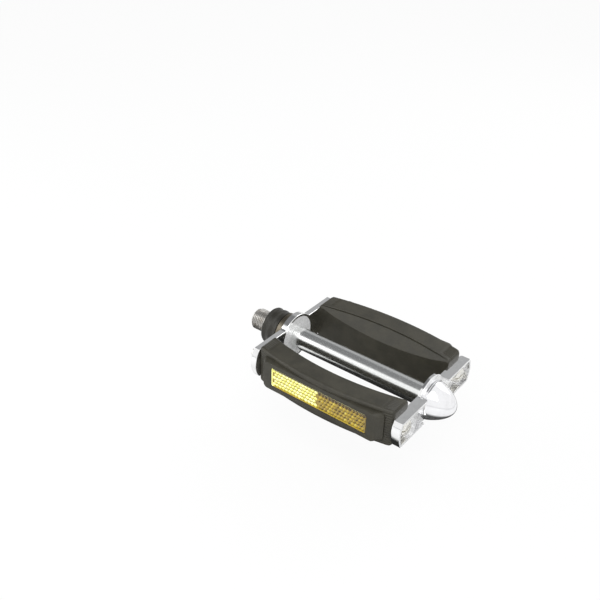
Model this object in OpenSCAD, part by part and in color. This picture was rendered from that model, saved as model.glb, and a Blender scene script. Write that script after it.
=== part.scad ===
// Two-block rubber pedal with reflectors, right-hand side.
// X runs along the spindle, outwards from the crank. The origin is on the spindle's axis,
// at the shoulder that seats against the crank. Z is up, and the front block is on the -Y side.

/* [Blocks] */
// Length of a rubber block along the spindle
block_len = 96; // [84:1:112]
// Height of a block, tread to tread
block_h = 25.6; // [22:0.2:31]
// Clear width between the two blocks' inner walls
block_gap = 45.8; // [44:0.2:56]
// Distance from the spindle's axis to the flat frame round a reflector
face_y = 43.5; // [42:0.5:50]
// Distance from the spindle's axis to a block's outer side, at its ends
side_y = 37; // [35.5:0.5:38]
// How far the outer side swells between its ends
crown = 6; // [3:0.5:6]
// Depth of the scoop along a block's upper inner edge, at mid length
scoop = 4.8; // [2:0.1:6]
// Shoulder-to-block distance along the spindle
block_start = 21; // [19:0.5:26]

/* [Reflectors] */
// Length of a reflector
reflector_len = 68; // [50:1:72]
// Height of a reflector
reflector_h = 13.2; // [10:0.2:14]
// Thickness of the lens and its back together
reflector_t = 2.8; // [2.4:0.1:4]
// Width of the raised frame beside the reflector's ends
frame_end = 5.5; // [3:0.5:8]
// Width of the raised frame above and below the reflector
frame_side = 2.7; // [2:0.1:4]
// Depth of the lens's face below the frame
lens_sink = 0.4; // [0.2:0.1:1]

/* [End plates] */
// Thickness of the plates' sheet steel
sheet_t = 1.5; // [1.2:0.1:2]
// Distance from the spindle's axis to a plate's tips
plate_reach = 41; // [40:0.5:46]
// Radius of a plate's round ends
plate_end_r = 15.5; // [14:0.5:18]
// Height of the inner plate's straight edges
inner_plate_h = 20; // [18:0.5:22]
// Height of the outer plate's straight edges
outer_plate_h = 17; // [16:0.5:22]
// Depth of the inner plate, over its turned edge
inner_plate_depth = 4; // [3.5:0.5:6]
// Depth of the outer plate, over its turned edge
outer_plate_depth = 6.5; // [5:0.5:8]
// Radius of the inner plate's eye
inner_eye_r = 15.5; // [14.5:0.5:18]
// Radius of the outer plate's eye
outer_eye_r = 15; // [14.5:0.5:18]

/* [Bolts] */
// Distance from the spindle's axis to a through bolt
bolt_y = 30.5; // [30:0.5:33]
// Diameter of a through bolt
bolt_d = 6; // [5:0.5:6]
// Diameter of a bolt's head
bolt_head_d = 9.5; // [9:0.5:11]
// Height of a bolt's head
bolt_head_h = 3.4; // [2.5:0.1:4]
// Width of a bolt nut across its flats
bolt_nut_af = 10; // [9.5:0.5:11]
// Height of a bolt nut
bolt_nut_h = 5; // [4:0.5:6]
// Thickness of a washer under a head or a nut
bolt_washer_t = 1.1; // [0.8:0.1:1.6]
// Wall of the steel sleeve round each bolt
sleeve_wall = 1; // [0.8:0.1:1.5]

/* [Barrel and bearings] */
// Outer diameter of the barrel tube
barrel_d = 14; // [13.6:0.2:16]
// Wall of the barrel tube
barrel_wall = 1; // [0.8:0.1:1.2]
// Diameter of an inner bearing ball
inner_ball_d = 3.97; // [3.5:0.01:4.2]
// Number of balls in the inner bearing
inner_ball_count = 12; // [9:1:12]
// Radius of the inner ball circle
inner_ball_pcr = 8.1; // [8:0.1:8.5]
// Diameter of an outer bearing ball
outer_ball_d = 3.18; // [3:0.01:3.4]
// Number of balls in the outer bearing
outer_ball_count = 11; // [8:1:11]
// Radius of the outer ball circle
outer_ball_pcr = 6; // [5.8:0.1:6.4]
// Outer radius of the inner bearing cup
inner_cup_r = 12.4; // [12.2:0.1:13]
// Gap that a ball has to each of its races
ball_clear = 0.06; // [0.04:0.01:0.1]

/* [Spindle] */
// Major diameter of the crank thread
thread_d = 14.28; // [12.7:0.01:14.3]
// Length of the crank thread
thread_len = 12.5; // [10:0.5:14]
// Diameter of the shoulder that seats on the crank
shoulder_d = 19; // [18:0.5:21]
// Width across the spanner flats
flats_af = 15; // [14:0.5:15]
// Diameter of the shaft next to the inner bearing
shaft_d = 9.4; // [9:0.1:9.8]
// Diameter of the shaft's threaded outer end
shaft_end_d = 8; // [7:0.5:8]

/* [Dust cap and boot] */
// Largest radius of the dust cap
cap_r = 12.4; // [12.2:0.1:14]
// Distance that the dust cap stands out from the outer plate
cap_len = 17.4; // [16.5:0.1:22]
// Wall of the dust cap
cap_wall = 0.9; // [0.7:0.1:1]
// Height of the dust cap's straight rim
cap_rim = 1; // [1:0.1:2.5]
// Fullness of the dust cap's nose, where 2 is an ellipse
cap_power = 1.2; // [1.2:0.1:2]
// Outer radius of the rubber dust boot
boot_r = 12.2; // [11.5:0.1:12.2]
// Wall of the dust boot
boot_wall = 1.4; // [1:0.1:1.6]

/* [Fits] */
// Radial clearance of pieces that are pressed or screwed together
fit_clear = 0.02; // [0.01:0.01:0.05]
// Clearance between pieces that turn past each other
run_clear = 0.4; // [0.3:0.05:0.6]
// Clearance round a piece that is set in rubber
rubber_clear = 0.05; // [0.02:0.01:0.1]

/* [Hidden] */
$fn = 96;
fine_fn = 360;              // for the long, shallow arcs
eps = 1;                    // overshoot of a cut past a face

block_end = block_start + block_len;
block_mid = block_start + block_len / 2;
inner_y = block_gap / 2;
half_h = block_h / 2;

// The outer side is an upright arc, and a plate's end is a half disc cut flat above and below
plate_end_y = plate_reach - plate_end_r;
crown_arc_r = (pow(block_len / 2, 2) + pow(crown, 2)) / (2 * crown);
scoop_arc_r = (pow(block_len / 2, 2) + pow(scoop, 2)) / (2 * scoop);

frame_len = reflector_len + 2 * frame_end;
frame_h = reflector_h + 2 * frame_side;
frame_corner = 3;
pocket_depth = reflector_t + lens_sink;
lens_corner = 1.2;
lens_wall = 1;
lens_face_t = reflector_t / 2;

// Stations along the spindle
inner_floor = block_start - sheet_t;
outer_floor = block_end + sheet_t;
cap_base = outer_floor;

// Bolts
bolt_r = bolt_d / 2;
bolt_clear = 0.1;
sleeve_r = bolt_r + bolt_clear + sleeve_wall;
bolt_washer_r = bolt_head_d / 2 + 0.4;
head_seat = outer_floor + bolt_washer_t;
nut_seat = inner_floor - bolt_washer_t;
bolt_tail = 2.9;            // thread that shows beyond the nut
bolt_start = nut_seat - bolt_nut_h - bolt_tail;
slot_w = 1.4;
slot_depth = 1.6;

// Barrel and bearings. Each race is a 45 degree cone that the balls nearly touch.
barrel_r = barrel_d / 2;
barrel_bore_r = barrel_r - barrel_wall;
spigot_r = barrel_bore_r - fit_clear;
spigot_wall = 0.8;
spigot_len = 4;
cup_floor_t = 0.9;
inner_reach = (inner_ball_d / 2 + ball_clear) * sqrt(2);
outer_reach = (outer_ball_d / 2 + ball_clear) * sqrt(2);
cup_bottom_r = spigot_r - spigot_wall;
race_floor = 0.5;           // flat ring left in a cup's bottom beyond its race
inner_ball_x = inner_floor - cup_floor_t - race_floor - inner_reach;
inner_cup_depth = inner_floor - inner_ball_x + 3.4;
inner_cup_mouth = inner_floor - inner_cup_depth;
inner_race_r = inner_ball_pcr + inner_reach;
inner_race_floor_r = inner_ball_pcr - race_floor;
outer_body_r = 9.6;
outer_ball_x = outer_floor + 0.1;
outer_race_r = outer_ball_pcr + outer_reach;
outer_race_floor_r = outer_ball_pcr - race_floor;
outer_cup_bottom = outer_ball_x - outer_reach - race_floor;
outer_cup_back = outer_cup_bottom - cup_floor_t;
outer_flange_r = cap_r - cap_wall - fit_clear;
shield_t = 0.8;
shield_seat = 0.3;

// Spindle
thread_r = thread_d / 2;
thread_chamfer = 1.2;
shoulder_r = shoulder_d / 2;
shoulder_t = 2.6;
shaft_r = shaft_d / 2;
shaft_end_r = shaft_end_d / 2;
cone_r = 8;                 // the fixed cone's largest radius
cone_start = inner_ball_x + inner_ball_pcr - inner_reach - cone_r;
cone_end = cone_start + cone_r - shaft_r;
cone_neck = 1.6;            // straight stretch before the fixed cone
flats_r = 9;
shaft_step = outer_cup_back - spigot_len;
adjust_start = outer_ball_x - outer_ball_pcr + outer_reach + shaft_end_r;
adjust_r = 6.4;
adjust_full = adjust_start + adjust_r - shaft_end_r - 0.2;
adjust_end = adjust_full + 1.8;
lock_washer_t = 1;
lock_washer_r = 6;
lock_nut_af = 12;
lock_nut_h = 4;
lock_seat = adjust_end + lock_washer_t;
shaft_tip = lock_seat + lock_nut_h + 0.8;
key_w = 1.8;
key_depth = 0.9;
key_clear = 0.1;

// Dust cap and boot
cap_steps = 28;
cap_nose = cap_len - cap_rim;
boot_back = 0.4;
boot_front = inner_cup_mouth - run_clear;

// ---- Helpers ----

// Turns a profile of [radius, x] points about the X axis
module turned() {
    rotate([90, 0, 90]) rotate_extrude() children();
}

// Extrudes an outline in [y, z] from x0 by a length
module along_x(x0, length) {
    translate([x0, 0, 0]) rotate([90, 0, 90]) linear_extrude(length) children();
}

// Extrudes an outline in [x, z] from y0 outwards by a depth
module along_y(y0, depth) {
    translate([0, y0 + depth, 0]) rotate([90, 0, 0]) linear_extrude(depth) children();
}

// A solid or hollow round bar along X, centred on a line at y
module bar_x(x0, x1, radius, bore = 0, y = 0) {
    translate([x0, y, 0]) rotate([0, 90, 0]) difference() {
        cylinder(r = radius, h = x1 - x0);
        if (bore > 0) translate([0, 0, -eps]) cylinder(r = bore, h = x1 - x0 + 2 * eps);
    }
}

// A hexagonal prism along X with a round bore
module hex_nut(x0, height, across_flats, bore, y = 0) {
    translate([x0, y, 0]) rotate([0, 90, 0]) difference() {
        cylinder(r = across_flats / sqrt(3), h = height, $fn = 6);
        translate([0, 0, -eps]) cylinder(r = bore, h = height + 2 * eps);
    }
}

// A rectangle with round corners, centred on mid length
module soft_rect(length, height, corner) {
    translate([block_mid, 0]) {
        square([length - 2 * corner, height], center = true);
        square([length, height - 2 * corner], center = true);
        for (sx = [-1, 1], sz = [-1, 1])
            translate([sx * (length / 2 - corner), sz * (height / 2 - corner)])
                circle(r = corner);
    }
}

// Makes the front piece from the rear one
module at_front() {
    mirror([0, 1, 0]) children();
}

// ---- Rubber blocks ----

// A block's outline from above, straight inside and swelling outside
module block_outline() {
    intersection() {
        translate([block_start, inner_y]) square([block_len, face_y - inner_y]);
        translate([block_mid, side_y + crown - crown_arc_r]) circle(r = crown_arc_r, $fn = fine_fn);
    }
}

// The long shallow cut along a block's upper inner edge
module edge_scoop() {
    depth_to_axis = (scoop_arc_r - scoop) / sqrt(2);
    translate([block_mid, inner_y - depth_to_axis, half_h + depth_to_axis])
        rotate([-45, 0, 0])
            cylinder(r = scoop_arc_r, h = 4 * block_h, center = true, $fn = fine_fn);
}

module rubber_block() {
    color([0.25, 0.235, 0.2]) difference() {
        union() {
            translate([0, 0, -half_h]) linear_extrude(block_h) block_outline();
            along_y(bolt_y, face_y - bolt_y) soft_rect(frame_len, frame_h, frame_corner);
        }
        edge_scoop();
        along_y(face_y - pocket_depth, pocket_depth + eps)
            soft_rect(reflector_len + 2 * rubber_clear, reflector_h + 2 * rubber_clear, lens_corner);
        bar_x(block_start - eps, block_end + eps, sleeve_r + rubber_clear, 0, bolt_y);
    }
}

// ---- Reflectors ----

module reflector_lens() {
    color([0.95, 0.72, 0.18]) difference() {
        along_y(face_y - pocket_depth, reflector_t)
            soft_rect(reflector_len, reflector_h, lens_corner);
        along_y(face_y - pocket_depth - eps, reflector_t - lens_face_t + eps)
            soft_rect(reflector_len - 2 * lens_wall, reflector_h - 2 * lens_wall, lens_corner / 2);
    }
}

module reflector_back() {
    color([0.55, 0.36, 0.08])
        along_y(face_y - pocket_depth, reflector_t - lens_face_t)
            soft_rect(reflector_len - 2 * lens_wall - 2 * fit_clear,
                      reflector_h - 2 * lens_wall - 2 * fit_clear, lens_corner / 2);
}

// ---- End plates ----

// A plate's outline, drawn in from its edge by an inset
module plate_outline(inset, eye_r, plate_h) {
    height = plate_h - 2 * inset;
    square([2 * plate_end_y, height], center = true);
    circle(r = eye_r - inset);
    for (side = [-1, 1]) intersection() {
        translate([side * plate_end_y, 0]) circle(r = plate_end_r - inset);
        square([4 * plate_reach, height], center = true);
    }
}

// A pressed plate: a flat floor with its edge turned up all round
module pressed_plate(floor_x, turned_x, eye_r, plate_h) {
    low = min(floor_x, turned_x);
    depth = abs(turned_x - floor_x);
    open_low = floor_x < turned_x ? floor_x + sheet_t : turned_x - eps;
    difference() {
        along_x(low, depth) plate_outline(0, eye_r, plate_h);
        along_x(open_low, depth - sheet_t + eps) plate_outline(sheet_t, eye_r, plate_h);
        for (side = [-1, 1])
            bar_x(low - eps, low + depth + eps, bolt_r + bolt_clear, 0, side * bolt_y);
    }
}

module inner_plate() {
    color([0.86, 0.86, 0.84]) difference() {
        pressed_plate(block_start, block_start - inner_plate_depth, inner_eye_r, inner_plate_h);
        bar_x(inner_floor - eps, block_start + eps, spigot_r + fit_clear);
    }
}

module outer_plate() {
    color([0.88, 0.88, 0.88]) difference() {
        pressed_plate(block_end, block_end + outer_plate_depth, outer_eye_r, outer_plate_h);
        bar_x(block_end - eps, outer_floor + eps, outer_body_r + fit_clear);
        // The edge is left flat round the eye
        bar_x(outer_floor, block_end + outer_plate_depth + eps, outer_eye_r + fit_clear);
    }
}

// ---- Barrel and bearings ----

module barrel_tube() {
    color([0.8, 0.81, 0.8])
        bar_x(block_start, outer_cup_back, barrel_r, barrel_bore_r);
}

// Cup behind the inner plate: race, floor and the spigot that enters the tube
module inner_cup() {
    color([0.55, 0.5, 0.42]) turned() polygon([
        [inner_cup_r, inner_cup_mouth],
        [inner_cup_r, inner_floor],
        [spigot_r, inner_floor],
        [spigot_r, block_start + spigot_len],
        [cup_bottom_r, block_start + spigot_len],
        [cup_bottom_r, inner_floor - cup_floor_t],
        [inner_race_floor_r, inner_floor - cup_floor_t],
        [inner_race_r, inner_ball_x],
        [inner_race_r, inner_cup_mouth]
    ]);
}

// Steel ring pressed into the inner cup's mouth
module bearing_shield() {
    color([0.6, 0.58, 0.55])
        bar_x(inner_cup_mouth + shield_seat, inner_cup_mouth + shield_seat + shield_t,
              inner_race_r - fit_clear, cone_r + run_clear);
}

// Cup through the outer plate: spigot, body, flange and race
module outer_cup() {
    color([0.6, 0.58, 0.55]) turned() polygon([
        [cup_bottom_r, outer_cup_back - spigot_len],
        [spigot_r, outer_cup_back - spigot_len],
        [spigot_r, outer_cup_back],
        [outer_body_r, outer_cup_back],
        [outer_body_r, outer_floor],
        [outer_flange_r, outer_floor],
        [outer_flange_r, outer_floor + cap_rim],
        [outer_race_r, outer_floor + cap_rim],
        [outer_race_r, outer_ball_x],
        [outer_race_floor_r, outer_cup_bottom],
        [cup_bottom_r, outer_cup_bottom]
    ]);
}

// A ring of loose balls
module ball_ring(ball_d, count, pitch_r, x) {
    for (i = [0 : count - 1])
        rotate([i * 360 / count, 0, 0]) translate([x, 0, pitch_r]) sphere(d = ball_d);
}

module inner_balls() {
    color("silver") ball_ring(inner_ball_d, inner_ball_count, inner_ball_pcr, inner_ball_x);
}

module outer_balls() {
    color("silver") ball_ring(outer_ball_d, outer_ball_count, outer_ball_pcr, outer_ball_x);
}

// ---- Spindle group ----

module spindle() {
    color([0.6, 0.6, 0.62]) difference() {
        turned() polygon([
            [0, -thread_len],
            [thread_r - thread_chamfer, -thread_len],
            [thread_r, thread_chamfer - thread_len],
            [thread_r, 0],
            [shoulder_r, 0],
            [shoulder_r, shoulder_t],
            [flats_r, shoulder_t],
            [flats_r, cone_start - cone_neck],
            [cone_r, cone_start - cone_neck],
            [cone_r, cone_start],
            [shaft_r, cone_end],
            [shaft_end_r, shaft_step],
            [shaft_end_r, shaft_tip],
            [0, shaft_tip]
        ]);
        for (side = [-1, 1])
            translate([shoulder_t, -shoulder_r, side > 0 ? flats_af / 2 : -flats_af / 2 - shoulder_r])
                cube([cone_start - cone_neck - shoulder_t, shoulder_d, shoulder_r]);
        translate([shaft_step + spigot_len, -key_w / 2, shaft_end_r - key_depth])
            cube([shaft_tip, key_w, shaft_end_r]);
    }
}

// Black rubber boot from the spindle's shoulder to the inner cup
module dust_boot() {
    color([0.1, 0.1, 0.1]) turned() polygon([
        [shoulder_r + fit_clear, boot_back],
        [boot_r - boot_wall / 2, boot_back],
        [boot_r, boot_back + boot_wall / 2],
        [boot_r, boot_front],
        [boot_r - boot_wall, boot_front],
        [boot_r - boot_wall, boot_back + boot_wall],
        [shoulder_r + fit_clear, boot_back + boot_wall]
    ]);
}

module adjusting_cone() {
    color([0.62, 0.62, 0.64]) difference() {
        turned() polygon([
            [shaft_end_r + fit_clear, adjust_start + 0.2],
            [shaft_end_r + 0.2, adjust_start + 0.2],
            [adjust_r, adjust_full + 0.2],
            [adjust_r, adjust_end],
            [shaft_end_r + fit_clear, adjust_end]
        ]);
        for (angle = [0, 90]) rotate([angle, 0, 0])
            translate([adjust_end - 0.8, -0.8, -2 * adjust_r]) cube([eps + 0.8, 1.6, 4 * adjust_r]);
    }
}

module lock_washer() {
    color([0.65, 0.65, 0.66]) {
        bar_x(adjust_end, lock_seat, lock_washer_r, shaft_end_r + fit_clear);
        translate([adjust_end, key_clear - key_w / 2, shaft_end_r - key_depth + key_clear])
            cube([lock_washer_t, key_w - 2 * key_clear, lock_washer_r - shaft_end_r]);
    }
}

module lock_nut() {
    color([0.7, 0.7, 0.72]) hex_nut(lock_seat, lock_nut_h, lock_nut_af, shaft_end_r + fit_clear);
}

// ---- Dust cap ----

// Radius of the cap's nose at a share t of its length, held to a least value
function nose_r(t, radius) = radius * sqrt(max(0, 1 - pow(t, cap_power)));

// Half outline of the nose with an even spread of turns, from its rim to its tip
function nose_points(radius, nose, x0) = [
    for (i = [0 : cap_steps])
        let (t = 1 - pow(1 - i / cap_steps, 2))
        [nose_r(t, radius), x0 + nose * t]
];

module dust_cap() {
    inner_radius = cap_r - cap_wall;
    color([0.9, 0.9, 0.9]) turned() difference() {
        polygon(concat([[0, cap_base], [cap_r, cap_base]],
                       nose_points(cap_r, cap_nose, cap_base + cap_rim)));
        polygon(concat([[0, cap_base - eps], [inner_radius, cap_base - eps]],
                       nose_points(inner_radius, cap_nose - cap_wall, cap_base + cap_rim)));
    }
}

// ---- Bolts ----

module sleeve() {
    color([0.7, 0.7, 0.7]) bar_x(block_start, block_end, sleeve_r, bolt_r + bolt_clear, bolt_y);
}

// Slotted round-head bolt
module through_bolt() {
    crown_h = 1.2;
    color([0.8, 0.8, 0.79]) difference() {
        union() {
            bar_x(bolt_start, head_seat + eps / 2, bolt_r, 0, bolt_y);
            translate([0, bolt_y, 0]) turned() polygon([
                [0, head_seat],
                [bolt_head_d / 2, head_seat],
                [bolt_head_d / 2, head_seat + bolt_head_h - crown_h],
                [bolt_head_d / 2 - crown_h, head_seat + bolt_head_h],
                [0, head_seat + bolt_head_h]
            ]);
        }
        translate([head_seat + bolt_head_h - slot_depth, bolt_y - bolt_head_d, -slot_w / 2])
            cube([slot_depth + eps, 2 * bolt_head_d, slot_w]);
    }
}

module head_washers() {
    color([0.75, 0.75, 0.74]) for (side = [-1, 1])
        bar_x(outer_floor, head_seat, bolt_washer_r, bolt_r + bolt_clear, side * bolt_y);
}

module nut_washers() {
    color([0.75, 0.75, 0.74]) for (side = [-1, 1])
        bar_x(nut_seat, inner_floor, bolt_washer_r, bolt_r + bolt_clear, side * bolt_y);
}

module bolt_nuts() {
    color([0.8, 0.8, 0.79]) for (side = [-1, 1])
        hex_nut(nut_seat - bolt_nut_h, bolt_nut_h, bolt_nut_af, bolt_r + fit_clear, side * bolt_y);
}

// ---- The pieces ----

spindle();
dust_boot();
adjusting_cone();
lock_washer();
lock_nut();
inner_balls();
outer_balls();
inner_cup();
bearing_shield();
barrel_tube();
outer_cup();
dust_cap();
inner_plate();
outer_plate();
at_front() rubber_block();  // front_block
rubber_block();  // rear_block
at_front() reflector_lens();  // front_reflector_lens
reflector_lens();  // rear_reflector_lens
at_front() reflector_back();  // front_reflector_back
reflector_back();  // rear_reflector_back
at_front() sleeve();  // front_sleeve
sleeve();  // rear_sleeve
at_front() through_bolt();  // front_bolt
through_bolt();  // rear_bolt
head_washers();
nut_washers();
bolt_nuts();
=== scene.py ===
"""Looks of a two-block rubber pedal with amber reflectors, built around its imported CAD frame.

X runs along the spindle, outwards from the crank, Z is up, and the front block is on the -Y side.
"""

import logging
import math
import random
from dataclasses import dataclass, field
from enum import Enum
from typing import Any, Callable, Iterable, Sequence, Union

import bmesh
import bpy
from mathutils import Euler, Matrix, Vector


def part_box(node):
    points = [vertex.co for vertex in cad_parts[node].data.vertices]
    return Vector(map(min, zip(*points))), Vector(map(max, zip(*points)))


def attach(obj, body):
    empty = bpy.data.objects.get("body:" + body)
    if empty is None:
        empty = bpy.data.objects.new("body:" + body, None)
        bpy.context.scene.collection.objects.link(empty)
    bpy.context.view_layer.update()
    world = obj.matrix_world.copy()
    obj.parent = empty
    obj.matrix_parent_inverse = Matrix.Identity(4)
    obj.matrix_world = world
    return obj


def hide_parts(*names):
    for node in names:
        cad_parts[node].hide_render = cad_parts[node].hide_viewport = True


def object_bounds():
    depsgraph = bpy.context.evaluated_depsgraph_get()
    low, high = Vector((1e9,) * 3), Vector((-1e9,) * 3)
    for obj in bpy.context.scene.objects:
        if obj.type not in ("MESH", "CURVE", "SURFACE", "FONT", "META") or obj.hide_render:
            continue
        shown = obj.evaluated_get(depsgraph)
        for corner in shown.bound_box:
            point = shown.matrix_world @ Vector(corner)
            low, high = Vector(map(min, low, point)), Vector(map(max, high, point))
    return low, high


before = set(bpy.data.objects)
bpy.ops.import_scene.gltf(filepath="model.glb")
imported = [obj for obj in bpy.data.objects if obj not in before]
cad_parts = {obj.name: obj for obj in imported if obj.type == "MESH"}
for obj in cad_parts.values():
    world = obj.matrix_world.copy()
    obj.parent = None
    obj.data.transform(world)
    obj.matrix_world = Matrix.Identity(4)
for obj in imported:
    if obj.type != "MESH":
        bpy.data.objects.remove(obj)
CAD_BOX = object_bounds()

LOG = logging.getLogger("pedal")
MM = 0.001
SHARP = math.radians(34)

Number = Union[int, float]
Colour = tuple[float, float, float]


class Body(Enum):
    """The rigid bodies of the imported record."""

    SPINDLE = "spindle_set"
    PEDAL = "pedal_body"
    INNER_BALLS = "inner_ball_ring"
    OUTER_BALLS = "outer_ball_ring"


class Slot(Enum):
    """The record's material slots."""

    BLOCK = "block_rubber"
    LENS = "amber_lens"
    LENS_BACK = "reflector_back"
    PLATE = "plate_chrome"
    BARREL = "barrel_chrome"
    CAP = "cap_chrome"
    CUP = "cup_steel"
    SPINDLE = "spindle_steel"
    BEARING = "bearing_steel"
    BALL = "ball_steel"
    FASTENER = "fastener_steel"
    BOOT = "boot_rubber"


class Side(Enum):
    """Which side of the spindle a piece is on."""

    FRONT = -1
    REAR = 1

    @property
    def word(self) -> str:
        """The side's name as the nodes spell it."""
        return self.name.lower()


# ---- Shader expressions ----


class Value:
    """A number that varies over a surface: a shader socket with arithmetic."""

    def __init__(self, graph: "Graph", socket: bpy.types.NodeSocket) -> None:
        """Wraps a socket.

        Args:
            graph: the tree that the socket is in.
            socket: an output socket.
        """
        self.graph = graph
        self.socket = socket

    def _math(self, operation: str, *values: Any) -> "Value":
        """Adds a Math node.

        Args:
            operation: the node's operation.
            values: its inputs, in order.
        Returns:
            The node's result.
        """
        return self.graph.value("ShaderNodeMath", {"operation": operation}, *values)

    def __add__(self, other: Any) -> "Value":
        """self + other."""
        return self._math("ADD", self, other)

    __radd__ = __add__

    def __sub__(self, other: Any) -> "Value":
        """self - other."""
        return self._math("SUBTRACT", self, other)

    def __rsub__(self, other: Any) -> "Value":
        """other - self."""
        return self._math("SUBTRACT", other, self)

    def __mul__(self, other: Any) -> "Value":
        """self * other."""
        return self._math("MULTIPLY", self, other)

    __rmul__ = __mul__

    def __truediv__(self, other: Any) -> "Value":
        """self / other."""
        return self._math("DIVIDE", self, other)

    def __rtruediv__(self, other: Any) -> "Value":
        """other / self."""
        return self._math("DIVIDE", other, self)

    def __pow__(self, other: Any) -> "Value":
        """self ** other."""
        return self._math("POWER", self, other)

    def __abs__(self) -> "Value":
        """The value without its sign."""
        return self._math("ABSOLUTE", self)

    def sine(self) -> "Value":
        """The sine of the value in radians."""
        return self._math("SINE", self)

    def over(self, low: Number, high: Number) -> "Value":
        """A smooth step from 0 at low to 1 at high, where low may be the larger.

        Args:
            low: where the step starts.
            high: where it ends.
        Returns:
            The step, from 0 to 1.
        """
        settings = {"interpolation_type": "SMOOTHSTEP", "clamp": True}
        return self.graph.value("ShaderNodeMapRange", settings, self, low, high, 0.0, 1.0)


class Graph:
    """The node tree of one material, with coordinates in millimetres."""

    def __init__(self, name: str, world: bool = False) -> None:
        """Starts an empty tree.

        Args:
            name: the material's name, or the world's.
            world: makes a world and not a material.
        """
        self.material = (bpy.data.worlds if world else bpy.data.materials).new(name)
        self.material.use_nodes = True
        self.tree = self.material.node_tree
        self.tree.nodes.clear()

    def node(self, kind: str, settings: dict[str, Any], *values: Any, **named: Any) -> bpy.types.Node:
        """Adds any node.

        Args:
            kind: the node's type.
            settings: its own settings, set before its sockets; "ramp" holds a ramp's stops.
            values: inputs in order, numbers, colours, Values or sockets; None leaves one alone.
            named: inputs by name, with _ for a space.
        Returns:
            The node.
        """
        made = self.tree.nodes.new(kind)
        for key, setting in settings.items():
            if key == "ramp":
                self._fill_ramp(made.color_ramp, setting)
            else:
                setattr(made, key, setting)
        pairs = [(made.inputs[i], value) for i, value in enumerate(values)]
        pairs += [(made.inputs[key.replace("_", " ")], value) for key, value in named.items()]
        for socket, value in pairs:
            self._feed(socket, value)
        return made

    def _fill_ramp(self, ramp: bpy.types.ColorRamp, stops: Sequence[tuple[float, Colour]]) -> None:
        """Sets a ramp's stops.

        Args:
            ramp: the ramp.
            stops: each stop's place and colour, in order.
        """
        while len(ramp.elements) < len(stops):
            ramp.elements.new(1.0)
        for element, (place, colour) in zip(ramp.elements, stops):
            element.position = place
            element.color = (*colour, 1.0)

    def _feed(self, socket: bpy.types.NodeSocket, value: Any) -> None:
        """Links or sets one input.

        Args:
            socket: the input.
            value: a Value, a socket, a number, a colour or None.
        """
        if value is None:
            return
        if isinstance(value, Value):
            value = value.socket
        if isinstance(value, bpy.types.NodeSocket):
            self.tree.links.new(value, socket)
        elif isinstance(value, tuple) and len(value) == 3 and socket.type == "RGBA":
            socket.default_value = (*value, 1.0)
        else:
            socket.default_value = value

    def value(self, kind: str, settings: dict[str, Any], *values: Any, out: Any = 0, **named: Any) -> Value:
        """Adds a node and wraps one of its outputs.

        Args:
            kind: the node's type.
            settings: its settings.
            values: its inputs in order.
            out: the output's index or name.
            named: its inputs by name.
        Returns:
            The output.
        """
        return Value(self, self.node(kind, settings, *values, **named).outputs[out])

    def place(self, stretch: tuple[float, float, float] = (1, 1, 1)) -> Value:
        """Object coordinates in millimetres.

        Args:
            stretch: how much the pattern is squeezed along each axis.
        Returns:
            A vector.
        """
        at = self.value("ShaderNodeTexCoord", {}, out="Object")
        scale = tuple(s / MM for s in stretch)
        return self.value("ShaderNodeVectorMath", {"operation": "MULTIPLY"}, at, scale)

    def axes(self, vector: Value) -> tuple[Value, Value, Value]:
        """The three parts of a vector.

        Args:
            vector: the vector.
        Returns:
            Its x, y and z.
        """
        parts = self.node("ShaderNodeSeparateXYZ", {}, vector).outputs
        return Value(self, parts[0]), Value(self, parts[1]), Value(self, parts[2])

    def noise(self, vector: Value, size: float, detail: float = 3.0, rough: float = 0.5) -> Value:
        """Smooth noise about 0.5.

        Args:
            vector: where it is read.
            size: the size of its spots, in the vector's units.
            detail: how many finer layers it has.
            rough: how strong they are.
        Returns:
            The noise.
        """
        return self.value(
            "ShaderNodeTexNoise", {}, Vector=vector, Scale=1.0 / size, Detail=detail, Roughness=rough
        )

    def mix(self, factor: Any, first: Any, second: Any) -> Value:
        """A colour between two colours.

        Args:
            factor: 0 gives the first colour, 1 the second.
            first: a colour.
            second: a colour.
        Returns:
            The colour.
        """
        made = self.tree.nodes.new("ShaderNodeMix")
        made.data_type = "RGBA"
        self._feed(made.inputs[0], factor)
        self._feed(made.inputs[6], first)
        self._feed(made.inputs[7], second)
        return Value(self, made.outputs[2])

    def bump(self, height: Value, depth: float, under: Any = None) -> Value:
        """A normal from a height.

        Args:
            height: from 0 to 1.
            depth: how many millimetres 0 to 1 stands for.
            under: the normal below it.
        Returns:
            The normal.
        """
        return self.value(
            "ShaderNodeBump", {}, Strength=1.0, Distance=depth * MM, Height=height, Normal=under
        )

    def finish(self, **sockets: Any) -> bpy.types.Material:
        """Adds the Principled shader and the output.

        Args:
            sockets: the shader's inputs by name.
        Returns:
            The material.
        """
        shader = self.node("ShaderNodeBsdfPrincipled", {}, **sockets)
        self.node("ShaderNodeOutputMaterial", {}, shader.outputs[0])
        return self.material


# ---- Finishes ----


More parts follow.
